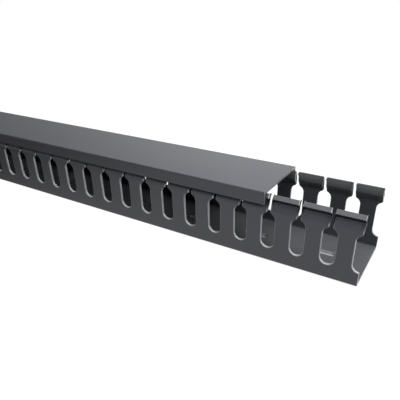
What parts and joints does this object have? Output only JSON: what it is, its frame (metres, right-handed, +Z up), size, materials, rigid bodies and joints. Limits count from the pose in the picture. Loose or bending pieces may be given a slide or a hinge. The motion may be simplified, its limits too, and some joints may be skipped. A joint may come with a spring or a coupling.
{
  "type": "slotted wire duct",
  "caption": "Rigid plastic wiring duct with punched keyhole slots in both walls and a clip-on flat cover that slides along it.",
  "frame": {"origin": "on the underside of the base, in the middle of the duct's length and width", "axes": "+X along the duct towards its open end, +Y towards the back wall, +Z up towards the cover"},
  "size_m": [0.5633, 0.052, 0.0486],
  "materials": {
    "duct_plastic": "semi-matte extruded plastic",
    "cover_plastic": "semi-matte extruded plastic"
  },
  "bodies": {
    "duct": {"duct": "duct_plastic"},
    "cover": {"cover": "cover_plastic"}
  },
  "joints": [
    {"name": "cover_slide", "type": "slide", "parent": "duct", "child": "cover", "axis": [1, 0, 0], "range_m": [-0.44, 0.0633]}
  ]
}
